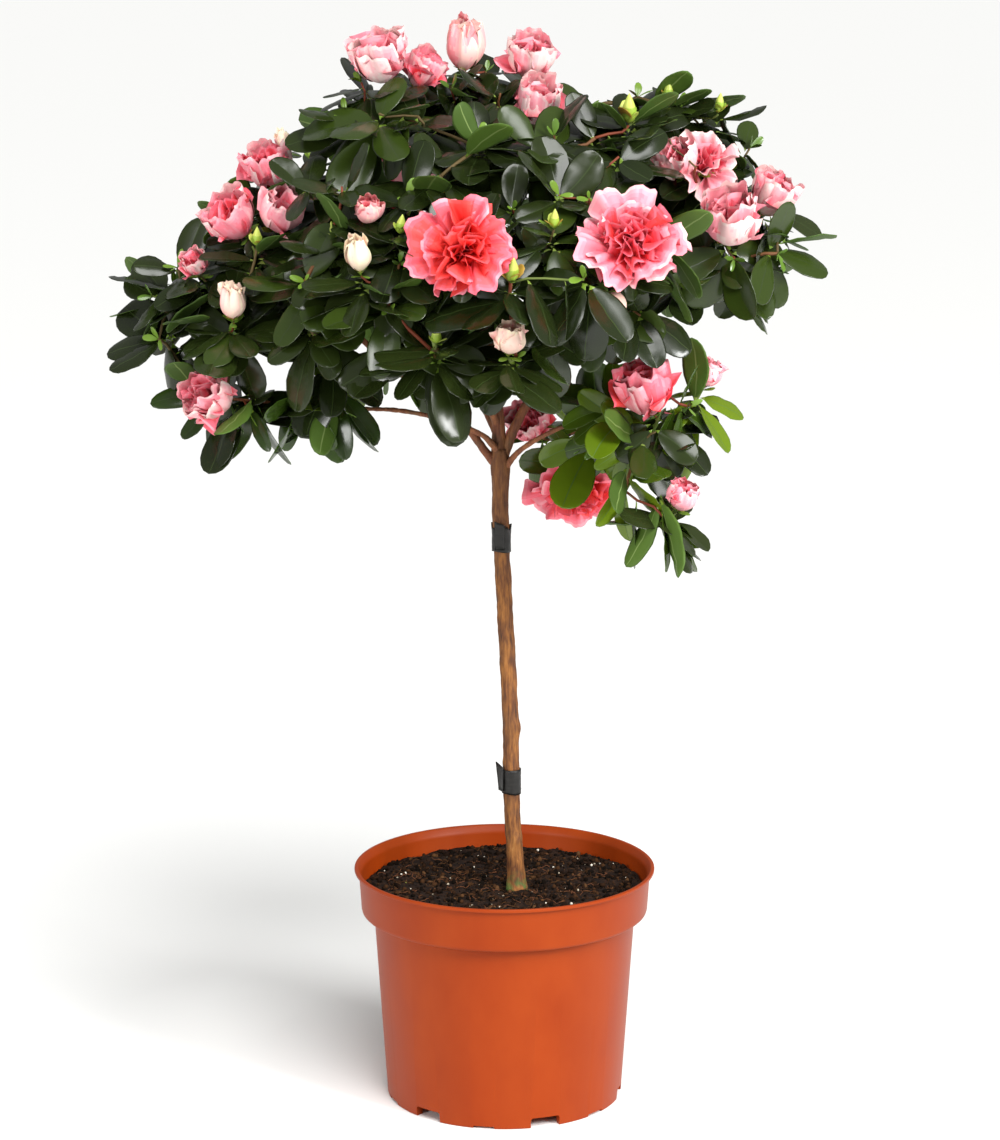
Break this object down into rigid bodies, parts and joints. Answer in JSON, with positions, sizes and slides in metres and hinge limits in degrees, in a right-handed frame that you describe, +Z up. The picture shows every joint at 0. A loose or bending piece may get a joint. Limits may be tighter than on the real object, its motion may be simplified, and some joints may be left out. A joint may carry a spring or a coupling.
{
  "type": "potted azalea shrub",
  "caption": "Azalea shrub on a short bare stem in a round nursery pot, with a domed crown of dark glossy leaves and ruffled pink blooms.",
  "frame": {"origin": "centre of the pot's flat underside", "axes": "+Z up the stem, -Y towards the front, +X to the right as seen from the front"},
  "size_m": [0.399, 0.3498, 0.61],
  "materials": {
    "pot_plastic": "satin",
    "compost": "rough",
    "bark": "rough",
    "young_bark": "satin",
    "tape": "satin",
    "foliage": "satin",
    "blossom": "matte"
  },
  "bodies": {
    "root": {"pot": "pot_plastic", "soil": "compost", "stem": "bark", "lower_tie": "tape", "upper_tie": "tape", "leader": "young_bark", "right_bough": "young_bark", "left_bough": "young_bark", "low_right_bough": "young_bark", "low_left_bough": "young_bark", "front_left_bough": "young_bark", "front_right_bough": "young_bark", "back_left_bough": "young_bark", "back_right_bough": "young_bark", "back_bough": "young_bark", "top_mass": "foliage", "upper_left_mass": "foliage", "upper_right_mass": "foliage", "upper_back_mass": "foliage", "left_shoulder_mass": "foliage", "left_arm_mass": "foliage", "right_shoulder_mass": "foliage", "right_side_mass": "foliage", "front_left_mass": "foliage", "front_right_mass": "foliage", "low_left_mass": "foliage", "low_centre_mass": "foliage", "hanging_right_mass": "foliage", "hanging_tip_mass": "foliage", "hanging_centre_mass": "foliage", "back_left_mass": "foliage", "back_mass": "foliage", "back_right_mass": "foliage", "low_back_mass": "foliage"}
  },
  "joints": []
}
